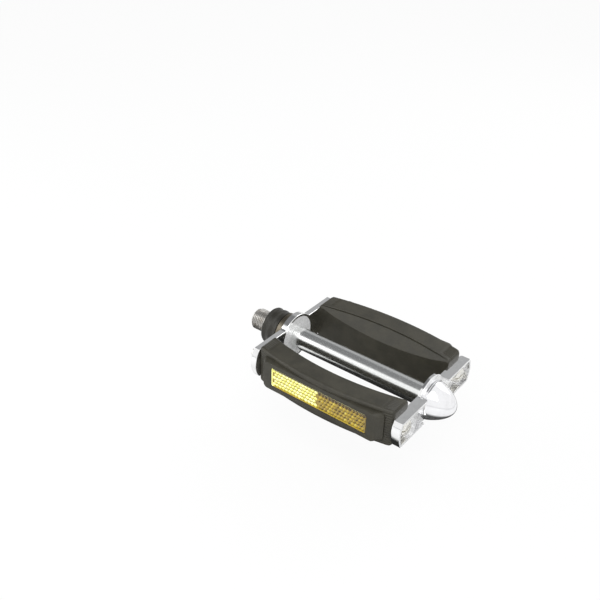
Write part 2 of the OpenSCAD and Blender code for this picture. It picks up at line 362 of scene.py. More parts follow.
@dataclass(frozen=True)
class Rubber:
    """Moulded rubber, a little dusty and worn."""

    dark: Colour
    light: Colour
    rough: float
    grain: float

    def make(self, name: str) -> bpy.types.Material:
        """Builds the material.

        Args:
            name: its name.
        Returns:
            The material.
        """
        g = Graph(name)
        at = g.place()
        clouds = g.noise(at, 9.0, 4.0, 0.6)
        grain = g.noise(at, 0.55, 5.0, 0.65)
        scuffs = g.noise(g.place((0.15, 1.0, 1.0)), 1.4, 4.0, 0.7).over(0.60, 0.74)
        tone = (clouds.over(0.3, 0.7) * 0.7 + grain.over(0.35, 0.7) * 0.3)
        body = g.mix(tone, self.dark, self.light)
        dust = tuple(min(1.0, c * 1.8 + 0.01) for c in self.light)
        coat = g.mix(scuffs * 0.35, body, dust)
        rough = self.rough + (clouds - 0.5) * 0.25 + scuffs * 0.12
        fine = g.bump(grain, self.grain)
        normal = g.bump(g.noise(at, 4.0, 2.0), 0.05, fine)
        return g.finish(Base_Color=coat, Roughness=rough, Normal=normal)


@dataclass(frozen=True)
class Chrome:
    """Bright chrome plating over formed steel."""

    colour: Colour
    rough: float
    ripple: float
    metal: float = 1.0
    # The eye's radius in mm for the painted white reflection on the eye and the outward face; 0 leaves none
    hub: float = 0.0

    def value_max(self, first: Value, second: Value) -> Value:
        """The larger of two values."""
        return first.graph.value("ShaderNodeMath", {"operation": "MAXIMUM"}, first, second)

    def make(self, name: str) -> bpy.types.Material:
        """Builds the material.

        Args:
            name: its name.
        Returns:
            The material.
        """
        g = Graph(name)
        at = g.place()
        smudge = g.noise(at, 5.0, 5.0, 0.6).over(0.42, 0.75)
        specks = g.noise(at, 0.45, 2.0, 0.5).over(0.66, 0.74)
        scratch = g.noise(g.place((0.12, 2.5, 2.5)), 0.8, 3.0, 0.7)
        dull = tuple(c * 0.72 for c in self.colour)
        tone = g.mix(smudge * 0.35 + specks * 0.5, self.colour, dull)
        rough = self.rough + smudge * 0.07 + specks * 0.2
        form = g.bump(g.noise(at, 7.0, 1.5), self.ripple)
        normal = g.bump(scratch, 0.0012, form)
        metal: Any = self.metal
        if self.hub:
            # Painted white reflection: the pressed eye and the outward face are less metallic and rougher, so they
            # read white, and the rest is polished
            x, y, z = g.axes(at)
            facing, _, _ = g.axes(g.value("ShaderNodeNewGeometry", {}, out="Normal"))
            eye = ((y * y + z * z) ** 0.5).over(self.hub + 0.3, self.hub - 0.3)
            face = facing.over(0.8, 0.95) * x.over(60.0, 80.0)
            painted_reflection_mask = self.value_max(eye, face)
            metal = self.metal - painted_reflection_mask * 0.85
            rough = rough + painted_reflection_mask * 0.2
        return g.finish(Base_Color=tone, Metallic=metal, Roughness=rough, Normal=normal)


@dataclass(frozen=True)
class Steel:
    """Turned, ground or plated steel."""

    colour: Colour
    stain: Colour
    rough: float
    lines: float = 0.0
    pitch: float = 0.35
    metal: float = 1.0

    def make(self, name: str) -> bpy.types.Material:
        """Builds the material.

        Args:
            name: its name.
        Returns:
            The material.
        """
        g = Graph(name)
        at = g.place()
        x, _, _ = g.axes(at)
        patches = g.noise(at, 3.0, 5.0, 0.65)
        fine = g.noise(at, 0.3, 3.0, 0.6)
        worn = patches.over(0.45, 0.72)
        tone = g.mix(worn * 0.8 + fine.over(0.6, 0.8) * 0.2, self.colour, self.stain)
        rough = self.rough + worn * 0.12 + fine * 0.06
        turning = (x * (2 * math.pi / self.pitch) + patches * 1.5).sine() * 0.5 + 0.5
        ground = g.bump(fine, 0.006)
        normal = g.bump(turning, self.lines, ground) if self.lines else ground
        return g.finish(Base_Color=tone, Metallic=self.metal, Roughness=rough, Normal=normal)


@dataclass(frozen=True)
class AmberLens:
    """Moulded amber reflector: its facets carry painted light and shade in an attribute, and one half is painted lit
    and glowing.
    """

    # Colours from painted shade (deep) through the amber (gold, lemon) to painted highlights (bright, pale)
    bright: Colour = (0.88, 0.86, 0.16)
    pale: Colour = (1.0, 1.0, 0.50)
    lemon: Colour = (0.50, 0.45, 0.045)
    gold: Colour = (0.52, 0.36, 0.02)
    deep: Colour = (0.07, 0.038, 0.004)

    def make(self, name: str) -> bpy.types.Material:
        """Builds the material.

        Args:
            name: its name.
        Returns:
            The material.
        """
        g = Graph(name)
        at = g.place()
        glow = g.value("ShaderNodeAttribute", {"attribute_name": "painted_facet_light"}, out="Fac")
        half = g.value("ShaderNodeAttribute", {"attribute_name": "half"}, out="Fac")
        # Painted glints: noise added to the painted light
        sparkle = g.noise(at, 0.9, 2.0, 0.5)
        level = glow + (sparkle - 0.5) * 0.35
        # The right half is painted as shaded gold, the left half as lit, with pale painted highlights
        gold = g.mix(level.over(0.1, 0.75), self.deep, self.gold)
        gold = g.mix(level.over(0.75, 1.05) * 0.8, gold, self.bright)
        lit = g.mix(level.over(0.0, 0.6), self.lemon, self.bright)
        lit = g.mix(level.over(0.5, 0.95), lit, self.pale)
        tone = g.mix(half, gold, lit)
        rough = 0.12 + g.noise(at, 2.5, 3.0).over(0.45, 0.8) * 0.14
        normal = g.bump(g.noise(at, 1.2, 2.0), 0.02)
        # The lit half also gets a painted glow through emission, though it is no lamp
        return g.finish(
            Base_Color=tone,
            Roughness=rough,
            Normal=normal,
            IOR=1.49,
            Coat_Weight=0.6,
            Coat_Roughness=0.05,
            Emission_Color=g.mix(half * level.over(0.2, 0.9), (0.0, 0.0, 0.0), self.bright),
            Emission_Strength=0.32,
        )


class Paint:
    """Makes each finish once and hands it out by slot."""

    FINISHES: dict[Slot, Any] = {
        Slot.BLOCK: Rubber((0.022, 0.020, 0.0125), (0.043, 0.039, 0.026), 0.52, 0.05),
        Slot.BOOT: Rubber((0.010, 0.009, 0.006), (0.022, 0.020, 0.013), 0.5, 0.03),
        Slot.LENS: AmberLens(),
        Slot.LENS_BACK: Rubber((0.10, 0.055, 0.01), (0.20, 0.11, 0.02), 0.45, 0.02),
        Slot.PLATE: Chrome((0.90, 0.90, 0.90), 0.06, 0.012, 1.0, 14.0),
        Slot.BARREL: Chrome((0.86, 0.87, 0.86), 0.19, 0.008),
        Slot.CAP: Chrome((0.90, 0.90, 0.915), 0.10, 0.02, 0.92),
        Slot.CUP: Steel((0.17, 0.15, 0.115), (0.08, 0.065, 0.045), 0.3, 0.01, 0.5),
        Slot.SPINDLE: Steel((0.56, 0.55, 0.53), (0.36, 0.33, 0.29), 0.26, 0.008),
        Slot.BEARING: Steel((0.60, 0.60, 0.60), (0.42, 0.40, 0.37), 0.2, 0.004),
        Slot.BALL: Steel((0.78, 0.78, 0.79), (0.66, 0.66, 0.67), 0.06),
        Slot.FASTENER: Steel((0.86, 0.85, 0.81), (0.70, 0.68, 0.62), 0.3, 0.002, metal=0.7),
    }

    def __init__(self) -> None:
        """Starts with nothing made."""
        self.made: dict[Slot, bpy.types.Material] = {}

    def of(self, slot: Slot) -> bpy.types.Material:
        """The material of a slot.

        Args:
            slot: the slot.
        Returns:
            Its material.
        """
        if slot not in self.made:
            self.made[slot] = self.FINISHES[slot].make(slot.value)
        return self.made[slot]


PAINT = Paint()


# ---- Shaping ----


class Shaper:
    """A bmesh on its way to becoming a piece. Sizes are in metres."""

    def __init__(self) -> None:
        """Starts empty."""
        self.bm = bmesh.new()

    @classmethod
    def from_node(cls, node: str) -> "Shaper":
        """A merged copy of a CAD node, its flat faces whole again.

        Args:
            node: the node's name.
        Returns:
            The shaper.
        """
        shaper = cls()
        shaper.bm.from_mesh(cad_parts[node].data)
        shaper.merge()
        bmesh.ops.dissolve_limit(
            shaper.bm, angle_limit=math.radians(0.4), verts=shaper.bm.verts, edges=shaper.bm.edges
        )
        return shaper

    def merge(self, distance: float = 2e-6) -> None:
        """Merges points that lie together.

        Args:
            distance: how near they must be.
        """
        bmesh.ops.remove_doubles(self.bm, verts=self.bm.verts, dist=distance)

    def soften(
        self, width: float, segments: int = 2, least: float = 30.0, where: Callable[[bmesh.types.BMEdge], bool] = None
    ) -> None:
        """Rounds the sharp edges.

        Args:
            width: the width of the rounding.
            segments: its number of facets.
            least: the smallest angle in degrees that counts as sharp.
            where: picks among the sharp edges.
        """
        limit = math.radians(least)
        edges = [
            e
            for e in self.bm.edges
            if len(e.link_faces) == 2 and e.calc_face_angle(0.0) > limit and (where is None or where(e))
        ]
        bmesh.ops.bevel(
            self.bm,
            geom=edges,
            offset=width,
            offset_type="OFFSET",
            segments=segments,
            profile=0.5,
            affect="EDGES",
            clamp_overlap=True,
            material=-1,
        )

    def turn(self, profile: Sequence[tuple[float, float]], y: float = 0.0, steps: int = 96, closed: bool = True) -> None:
        """Spins a profile about a line along X.

        Args:
            profile: points of radius and x.
            y: where the line is.
            steps: the number of facets round the axis.
            closed: joins the last point to the first.
        """
        verts = [self.bm.verts.new((x, y, r)) for r, x in profile]
        pairs = list(zip(verts, verts[1:]))
        if closed:
            pairs.append((verts[-1], verts[0]))
        edges = [self.bm.edges.new(pair) for pair in pairs]
        bmesh.ops.spin(
            self.bm,
            geom=verts + edges,
            cent=(0, y, 0),
            axis=(1, 0, 0),
            dvec=(0, 0, 0),
            angle=2 * math.pi,
            steps=steps,
            use_merge=True,
            use_duplicate=False,
        )

    def thread(self, root: float, crest: float, pitch: float, start: float, end: float, y: float = 0.0) -> None:
        """Winds a V thread round a line along X.

        Args:
            root: the radius at its foot.
            crest: the radius at its top.
            pitch: the advance of one turn.
            start: the x where it starts.
            end: the x where it ends.
            y: where the line is.
        """
        steps = 28
        turns = (end - start - pitch) / pitch
        half = pitch * 0.46
        points = [(root, -half), (crest, -half * 0.14), (crest, half * 0.14), (root, half)]
        verts = [self.bm.verts.new((start + half + x, y, r)) for r, x in points]
        face = self.bm.faces.new(verts)
        count = int(turns * steps)
        made = bmesh.ops.spin(
            self.bm,
            geom=[face],
            cent=(0, y, 0),
            axis=(1, 0, 0),
            dvec=(pitch / steps, 0, 0),
            angle=2 * math.pi * count / steps,
            steps=count,
            use_merge=False,
            use_duplicate=False,
        )
        del made

    def loft(self, x: float, plan: Sequence[tuple[float, float, float, float]], segments: int = 4) -> None:
        """Joins upright rounded rectangles in order, and closes the first and the last.

        Args:
            x: the middle of them all.
            plan: each one's y, length, height and corner radius.
            segments: the facets of a corner.
        """
        bm = self.bm
        made = bmesh.ops.create_circle(bm, cap_ends=True, radius=1.0, segments=4 * (segments + 1))
        ring = made["verts"]
        face = first = ring[0].link_faces[0]
        self.shape_ring(ring, x, plan[0], segments)
        for step in plan[1:]:
            made = bmesh.ops.extrude_face_region(bm, geom=[face], use_keep_orig=True)
            last, face = face, next(g for g in made["geom"] if isinstance(g, bmesh.types.BMFace))
            fresh = set(face.verts)
            ring = [next(e.other_vert(v) for e in v.link_edges if e.other_vert(v) in fresh) for v in ring]
            if last is not first:
                bmesh.ops.delete(bm, geom=[last], context="FACES_ONLY")
            self.shape_ring(ring, x, step, segments)

    def shape_ring(self, ring: list, x: float, step: tuple[float, float, float, float], segments: int) -> None:
        """Moves a ring of points onto an upright rounded rectangle.

        Args:
            ring: its points in order.
            x: the rectangle's middle.
            step: its y, length, height and corner radius.
            segments: the facets of a corner.
        """
        y, length, height, corner = step
        per = segments + 1
        for i, vert in enumerate(ring):
            quarter, k = divmod(i, per)
            angle = math.pi / 2 * (quarter + k / segments)
            sx = 1 if quarter in (0, 3) else -1
            sz = 1 if quarter in (0, 1) else -1
            cx, cz = sx * (length / 2 - corner), sz * (height / 2 - corner)
            vert.co = (x + cx + corner * math.cos(angle), y, cz + corner * math.sin(angle))

    def mirrored(self) -> None:
        """Turns the shape into its twin across the XZ plane."""
        bmesh.ops.scale(self.bm, vec=(1, -1, 1), verts=self.bm.verts)
        bmesh.ops.reverse_faces(self.bm, faces=self.bm.faces)

    def piece(
        self, name: str, body: Body, slot: Slot, nodes: Iterable[str] = (), sharp: float = SHARP, recalc: bool = True
    ) -> bpy.types.Object:
        """Makes the object, dresses it and puts it on its body.

        Args:
            name: the piece's name.
            body: what it moves with.
            slot: its finish.
            nodes: the CAD nodes that it stands for.
            sharp: the angle past which an edge stays sharp.
            recalc: turns all the faces outwards.
        Returns:
            The object.
        """
        bm = self.bm
        self.merge()
        bmesh.ops.dissolve_degenerate(bm, dist=1e-7, edges=bm.edges)
        if recalc:
            bmesh.ops.recalc_face_normals(bm, faces=bm.faces)
        for face in bm.faces:
            face.smooth = True
        for edge in bm.edges:
            edge.smooth = not (len(edge.link_faces) == 2 and edge.calc_face_angle(0.0) > sharp)
        mesh = bpy.data.meshes.new(name)
        bm.to_mesh(mesh)
        bm.free()
        piece = bpy.data.objects.new(name, mesh)
        bpy.context.scene.collection.objects.link(piece)
        mesh.materials.append(PAINT.of(slot))
        weighted = piece.modifiers.new("weighted", "WEIGHTED_NORMAL")
        weighted.keep_sharp = True
        weighted.weight = 90
        if nodes:
            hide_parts(*nodes)
        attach(piece, body.value)
        LOG.info("%s: %d faces on %s", name, len(mesh.polygons), body.value)
        return piece


def dress(node: str, slot: Slot) -> None:
    """Gives a CAD node its finish.

    Args:
        node: the node's name.
        slot: the finish.
    """
    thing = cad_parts[node]
    thing.data.materials.clear()
    thing.data.materials.append(PAINT.of(slot))
    LOG.info("%s keeps its CAD shape", node)


# ---- Rubber blocks ----


@dataclass
class RubberBlock:
    """One tread block with its raised reflector frame."""

    side: Side
    chamfer: float = 6.8 * MM
    end_chamfer: float = 0.45 * MM
    corner: float = 1.7 * MM
    swell: float = 5.5 * MM
    rib_depth: float = 0.55 * MM
    lip: float = 0.9 * MM
    rib_zone: float = 8.0 * MM
    end_round: float = 2.2 * MM
    frame_proud: float = 0.0
    frame_end: float = 6.0 * MM
    frame_side: float = 3.2 * MM
    slope: float = 3.2 * MM
    bore: float = 4.15 * MM
    bolt_y: float = 30.5 * MM
    stations: int = 64
    top_rows: int = 16
    side_rows: int = 26
    arc_rows: int = 4

    def __post_init__(self) -> None:
        """Reads the CAD boxes."""
        low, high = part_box(f"{Side.REAR.word}_block")
        self.x0, self.x1 = low.x, high.x
        self.inner, self.face = low.y, high.y
        self.half_h = high.z
        self.mid = (self.x0 + self.x1) / 2
        self.half_len = (self.x1 - self.x0) / 2
        lens_low, lens_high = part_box(f"{Side.REAR.word}_reflector_lens")
        self.lens_len = lens_high.x - lens_low.x
        self.lens_h = lens_high.z - lens_low.z
        self.pocket = lens_low.y
        self.side_mid = self.face - 0.5 * MM
        self.frame_len = self.lens_len + 2 * self.frame_end
        self.frame_h = self.lens_h + 2 * self.frame_side

    def bow(self, x: float) -> float:
        """How far along its swell the block is at x, from 0 at the ends to 1 at mid length."""
        return 1 - ((x - self.mid) / self.half_len) ** 2

    def section(self, x: float) -> list[tuple[float, float]]:
        """The block's outline across X.

        Args:
            x: where it is cut.
        Returns:
            Points of y and z, from the inner wall's foot round by the top and the outer side.
        """
        bow = self.bow(x)
        cut = self.end_chamfer + (self.chamfer - self.end_chamfer) * bow
        away = self.half_len - abs(x - self.mid)
        turn = self.end_round - math.sqrt(max(0.0, self.end_round**2 - max(0.0, self.end_round - away) ** 2))
        outer = self.side_mid - self.swell * (1 - bow) - turn * 0.6
        h, r = self.half_h - turn, self.corner
        edge = 0.35 * MM
        ribbed = max(0.0, min(1.0, (abs(x - self.mid) - (self.half_len - self.rib_zone)) / (0.8 * MM)))
        depth = self.rib_depth * ribbed
        fade = max(0.0, min(1.0, (self.half_len - abs(x - self.mid)) / (0.6 * MM)))
        depth *= fade
        in_recess = abs(x - self.mid) < self.frame_len / 2 - 0.6 * MM
        points = []
        foot, top = edge - h, h - cut - edge - self.lip * min(1.0, cut / (3.0 * MM))
        for i in range(4):
            points.append((self.inner, foot + (top - foot) * i / 3))
        drop = self.lip * min(1.0, cut / (3.0 * MM))
        brow = self.inner + cut
        points.append((self.inner + edge * 0.3, h - cut + edge * 0.3 - drop))
        points.append((brow - edge * 0.4, h - edge * 0.4 - drop))
        points.append((brow + 0.3 * MM, h - edge * 0.4 - drop))
        points.append((brow + 0.2 * MM, h - 0.3 * MM))
        points.append((brow + 0.5 * MM, h))
        start, end = brow + 1.1 * MM, outer - r
        for i in range(self.top_rows + 1):
            dip = depth if i % 2 and 1 < i < self.top_rows else 0.0
            points.append((start + (end - start) * i / self.top_rows, h - dip))
        for i in range(1, self.arc_rows):
            a = math.pi / 2 * i / self.arc_rows
            points.append((outer - r + r * math.sin(a), h - r + r * math.cos(a)))
        for i in range(self.side_rows + 1):
            z = (h - r) * (1 - 2 * i / self.side_rows)
            dip = depth if i % 2 else 0.0
            if in_recess and abs(z) < self.frame_h / 2 - 0.7 * MM:
                points.append((self.pocket - 2 * MM, z))
            else:
                points.append((outer - dip, z))
        for i in range(1, self.arc_rows):
            a = math.pi / 2 * i / self.arc_rows
            points.append((outer - r + r * math.cos(a), -(h - r) - r * math.sin(a)))
        start = self.inner + edge
        for i in range(self.top_rows + 1):
            dip = depth if i % 2 and 1 < self.top_rows - i < self.top_rows else 0.0
            points.append((outer - r + (start - outer + r) * i / self.top_rows, -h + dip))
        return points

    def cuts(self) -> list[float]:
        """The x places of the block's sections."""
        half = self.frame_len / 2
        evenly = [self.x0 + (self.x1 - self.x0) * i / self.stations for i in range(self.stations + 1)]
        steps = [self.mid + s * (half - 0.6 * MM + d) for s in (-1, 1) for d in (-0.02 * MM, 0.02 * MM)]
        ends = [end + s * d * MM for end, s in ((self.x0, 1), (self.x1, -1)) for d in (0.08, 0.3, 0.6, 1.05)]
        return sorted(evenly + steps + ends)

    def build(self) -> bpy.types.Object:
        """Builds the block.

        Returns:
            The piece.
        """
        shaper = Shaper()
        bm = shaper.bm
        cuts = self.cuts()
        ring = [bm.verts.new((cuts[0], y, z)) for y, z in self.section(cuts[0])]
        edges = [bm.edges.new(pair) for pair in zip(ring, ring[1:] + ring[:1])]
        first = list(edges)
        for x in cuts[1:]:
            made = bmesh.ops.extrude_edge_only(bm, edges=edges)["geom"]
            edges = [g for g in made if isinstance(g, bmesh.types.BMEdge) and all(v in made for v in g.verts)]
            ring = self.follow([g for g in made if isinstance(g, bmesh.types.BMVert)], ring, x)
            edges = [bm.edges.get(pair) for pair in zip(ring, ring[1:] + ring[:1])]
        self.bored_ends(shaper, first, edges)
        self.raised_frame(shaper)
        if self.side is Side.FRONT:
            shaper.mirrored()
        word = self.side.word
        return shaper.piece(f"{word}_tread_block", Body.PEDAL, Slot.BLOCK, [f"{word}_block"])

    def follow(self, fresh: list, ring: list, x: float) -> list:
        """Moves a freshly extruded ring to its own section.

        Args:
            fresh: the new points.
            ring: the ring that they were extruded from, in order.
            x: where they go.
        Returns:
            The new ring, in order.
        """
        pool = set(fresh)
        ordered = [next(v for e in old.link_edges for v in e.verts if v in pool) for old in ring]
        for vert, (y, z) in zip(ordered, self.section(x)):
            vert.co = (x, y, z)
        return ordered

    def bored_ends(self, shaper: Shaper, first: list, last: list) -> None:
        """Closes the ends round a bore for the bolt's sleeve.

        Args:
            shaper: the block.
            first: the edges of the end at the crank's side.
            last: the edges of the other end.
        """
        bm = shaper.bm
        rims = []
        for x, outline in ((self.x0, first), (self.x1, last)):
            place = Matrix.Translation((x, self.bolt_y, 0)) @ Matrix.Rotation(math.pi / 2, 4, "Y")
            made = bmesh.ops.create_circle(bm, cap_ends=False, radius=self.bore, segments=32, matrix=place)
            rim = list({e for v in made["verts"] for e in v.link_edges})
            bmesh.ops.bridge_loops(bm, edges=outline + rim)
            rims.append(rim)
        bmesh.ops.bridge_loops(bm, edges=rims[0] + rims[1])

    def raised_frame(self, shaper: Shaper) -> None:
        """Adds the frame round the reflector, its ends sloped.

        Args:
            shaper: the block.
        """
        slack = 0.05 * MM
        foot = self.face - self.swell * 0.75
        length, height = self.frame_len, self.frame_h
        lens_l, lens_h = self.lens_len + 2 * slack, self.lens_h + 2 * slack
        plan = [
            (foot - 2.0 * MM, length + 2 * self.slope, height + 0.7 * MM, 3.2 * MM),
            (foot, length + 2 * self.slope, height + 0.7 * MM, 3.2 * MM),
            (self.face - 1.2 * MM, length + 1.1 * MM, height + 0.25 * MM, 3.0 * MM),
            (self.face - 0.45 * MM, length + 0.3 * MM, height, 2.9 * MM),
            (self.face - 0.12 * MM, length - 0.3 * MM, height - 0.25 * MM, 2.7 * MM),
            (self.face, length - 1.0 * MM, height - 0.8 * MM, 2.4 * MM),
            (self.face, lens_l + 1.0 * MM, lens_h + 1.0 * MM, 1.6 * MM),
            (self.face - 0.1 * MM, lens_l + 0.35 * MM, lens_h + 0.35 * MM, 1.35 * MM),
            (self.face - 0.5 * MM, lens_l, lens_h, 1.2 * MM),
            (self.pocket - 0.05 * MM, lens_l, lens_h, 1.2 * MM),
        ]
        shaper.loft(self.mid, plan)


# ---- Reflectors ----


@dataclass
class Reflector:
    """A lens with rows of prisms, in two halves: the left painted lit and glowing, the right painted darker gold."""

    side: Side
    pitch: float = 2.3 * MM
    prism: float = 0.45 * MM
    rim: float = 0.75 * MM
    bar: float = 0.5 * MM
    wall: float = 1.0 * MM

    def __post_init__(self) -> None:
        """Reads the CAD boxes."""
        self.low, self.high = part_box(f"{Side.REAR.word}_reflector_lens")
        self.mid = (self.low.x + self.high.x) / 2

    def body(self, shaper: Shaper) -> None:
        """The lens's shell, its edge standing round the prisms.

        Args:
            shaper: the lens.
        """
        low, high = self.low, self.high
        length, height = high.x - low.x, high.z - low.z
        field = high.y - self.prism
        inner_l, inner_h = length - 2 * self.wall, height - 2 * self.wall
        plan = [
            (field, length - 2 * self.rim, height - 2 * self.rim, 0.9 * MM),
            (high.y, length - 2 * self.rim + 0.1 * MM, height - 2 * self.rim + 0.1 * MM, 0.9 * MM),
            (high.y, length - 0.3 * MM, height - 0.3 * MM, 1.1 * MM),
            (high.y - 0.15 * MM, length, height, 1.2 * MM),
            (low.y, length, height, 1.2 * MM),
            (low.y, inner_l, inner_h, 0.6 * MM),
            ((low.y + high.y) / 2, inner_l, inner_h, 0.6 * MM),
        ]
        shaper.loft(self.mid, plan)

    def prisms(self, shaper: Shaper) -> list[tuple[Vector, float]]:
        """Stands hexagonal prisms in the field, in staggered rows.

        Args:
            shaper: the lens.
        Returns:
            Each prism's middle, and its row counted from the top, from 0 to 1.
        """
        height = self.high.z - self.low.z - 2 * self.rim
        length = self.high.x - self.low.x - 2 * self.rim
        rows = int(height / (self.pitch * 0.86))
        columns = int(length / self.pitch)
        places = []
        base = self.high.y - self.prism
        for row in range(rows):
            z = (row - (rows - 1) / 2) * height / rows
            for column in range(columns - row % 2):
                x = self.mid + (column + (row % 2) * 0.5 - (columns - 1) / 2) * length / columns
                if abs(x - self.mid) < self.bar:
                    continue
                place = Matrix.Translation((x, base + self.prism / 2, z)) @ Matrix.Rotation(-math.pi / 2, 4, "X")
                bmesh.ops.create_cone(
                    shaper.bm, cap_ends=True, cap_tris=False, segments=6, radius1=self.pitch * 0.53,
                    radius2=self.pitch * 0.16, depth=self.prism, matrix=place,
                )
                places.append((Vector((x, base, z)), 1 - row / max(1, rows - 1)))
        return places

    def build(self) -> bpy.types.Object:
        """Builds the lens.

        Returns:
            The piece.
        """
        shaper = Shaper()
        self.body(shaper)
        shell = set(shaper.bm.faces)
        places = self.prisms(shaper)
        self.shade(shaper, shell, places)
        if self.side is Side.FRONT:
            shaper.mirrored()
        else:
            # The rear lens stays as built: the scaling by 1 changes nothing
            bmesh.ops.scale(shaper.bm, vec=(1, 1, 1), verts=shaper.bm.verts)
        word = self.side.word
        return shaper.piece(f"{word}_lens", Body.PEDAL, Slot.LENS, [f"{word}_reflector_lens"], recalc=False)

    def shade(self, shaper: Shaper, shell: set, places: list[tuple[Vector, float]]) -> None:
        """Writes each face's painted light and shade, and which half it is in: the left half is painted lit.

        Args:
            shaper: the lens.
            shell: the faces that aren't prisms.
            places: the prisms' middles and rows.
        """
        bm = shaper.bm
        painted_facet_light = bm.faces.layers.float.new("painted_facet_light")
        half = bm.faces.layers.float.new("half")
        rng = random.Random(7)
        bmesh.ops.recalc_face_normals(bm, faces=[f for f in bm.faces if f in shell])
        field_y = self.high.y - self.prism
        glow = {}
        for face in bm.faces:
            middle = face.calc_center_median()
            # The left half is painted lit, the right half painted darker
            face[half] = 1.0 if middle.x < self.mid else 0.0
            # The shell gets flat painted shade: the field a little lighter than its wall and edge
            if face in shell:
                on_field = abs(middle.y - field_y) < 0.02 * MM
                face[painted_facet_light] = 0.22 if on_field else 0.08
                continue
            spot = min(places, key=lambda p: (p[0].x - middle.x) ** 2 + (p[0].z - middle.z) ** 2)
            key = tuple(spot[0])
            # Each prism gets a random painted brightness
            glow.setdefault(key, rng.uniform(-0.22, 0.22))
            face.normal_update()
            # Painted light: faces turned up are lighter, faces turned towards +X darker
            tilt = face.normal.z * 0.35 - face.normal.x * 0.25
            level = 0.55 + glow[key] + tilt
            # The top row of the right half is painted darker
            if face[half] < 0.5 and spot[1] < 0.08:
                level -= 0.45
            # The left half is painted lighter
            face[painted_facet_light] = max(0.0, min(1.0, level + (0.2 if face[half] > 0.5 else -0.05)))


# ---- End plates, barrel and cap ----


@dataclass
class EndPlate:
    """A pressed and chromed end plate, its bends and cut edges rounded."""

    node: str
    turned_up: int
    bend: float = 1.7 * MM
    inside: float = 0.5 * MM
    rim: float = 0.22 * MM
    notch: float = 3.0 * MM
    flat_r: float = 11.3 * MM

    def build(self) -> bpy.types.Object:
        """Builds the plate.

        Returns:
            The piece.
        """
        shaper = Shaper.from_node(self.node)
        low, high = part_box(self.node)
        floor_x = low.x if self.turned_up > 0 else high.x
        size = high.x - low.x

        def upright(edge: bmesh.types.BMEdge) -> bool:
            """Whether an edge runs along X, at the eye's notches."""
            a, b = (v.co for v in edge.verts)
            return abs(a.x - b.x) > 0.5 * size and math.hypot(a.y, a.z) < 0.5 * (high.y)

        def at_bend(edge: bmesh.types.BMEdge) -> bool:
            """Whether an edge lies on the outside of the bend."""
            a, b = (v.co for v in edge.verts)
            return abs(a.x - floor_x) < 1e-6 and abs(b.x - floor_x) < 1e-6 and self.is_outline(a, b)

        shaper.soften(self.notch, 4, 20.0, upright)
        shaper.soften(self.bend, 5, 40.0, at_bend)
        shaper.soften(self.rim, 2, 40.0)
        return shaper.piece(f"{self.node}_pressing", Body.PEDAL, Slot.PLATE, [self.node])

    def is_outline(self, a: Vector, b: Vector) -> bool:
        """Whether two points are on the plate's outline and not on a hole.

        Args:
            a: a point.
            b: a point.
        Returns:
            True on the outline.
        """
        for point in (a, b):
            for y in (-30.5 * MM, 30.5 * MM):
                if math.hypot(point.y - y, point.z) < 3.5 * MM:
                    return False
            if math.hypot(point.y, point.z) < self.flat_r:
                return False
        return True


@dataclass
class Barrel:
    """The chromed tube between the plates."""

    node: str = "barrel_tube"
    wall: float = 1.0 * MM
    edge: float = 0.2 * MM

    def build(self) -> bpy.types.Object:
        """Builds the tube.

        Returns:
            The piece.
        """
        low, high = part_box(self.node)
        r, e = high.z, self.edge
        bore = r - self.wall
        shaper = Shaper()
        shaper.turn(
            [
                (bore, low.x + e), (bore + e, low.x), (r - e, low.x), (r, low.x + e),
                (r, high.x - e), (r - e, high.x), (bore + e, high.x), (bore, high.x - e),
            ]
        )
        return shaper.piece("barrel", Body.PEDAL, Slot.BARREL, [self.node])


@dataclass
class DustCap:
    """The bullet cap: a straight rim, a rolled bead and a full nose."""

    node: str = "dust_cap"
    wall: float = 0.9 * MM
    rim: float = 2.4 * MM
    bead: float = 0.3 * MM
    power: float = 1.2
    steps: int = 40

    def nose(self, radius: float, length: float, start: float) -> list[tuple[float, float]]:
        """The nose's outline.

        Args:
            radius: at its foot.
            length: from foot to tip.
            start: the foot's x.
        Returns:
            Points of radius and x, from foot to tip.
        """
        points = []
        for i in range(self.steps + 1):
            t = 1 - (1 - i / self.steps) ** 2
            points.append((radius * math.sqrt(max(0.0, 1 - t**self.power)), start + length * t))
        return points

    def build(self) -> bpy.types.Object:
        """Builds the cap.

        Returns:
            The piece.
        """
        low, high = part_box(self.node)
        r, x0 = high.z, low.x
        foot = x0 + self.rim
        length = high.x - foot
        outer = [(r - 0.15 * MM, x0), (r, x0 + 0.15 * MM), (r, foot - 0.35 * MM)]
        outer += [(r - self.bead, foot - 0.1 * MM), (r - self.bead, foot + 0.1 * MM)]
        outer += [p for p in self.nose(r - 0.02 * MM, length, foot + 0.0 * MM) if p[1] > foot + 0.35 * MM]
        ri = r - self.wall
        inner = [(ri, x0)] + self.nose(ri, length - self.wall, foot)
        shaper = Shaper()
        shaper.turn(outer + inner[::-1], steps=128)
        return shaper.piece("bullet_cap", Body.PEDAL, Slot.CAP, [self.node])


# ---- Fasteners and spindle ----


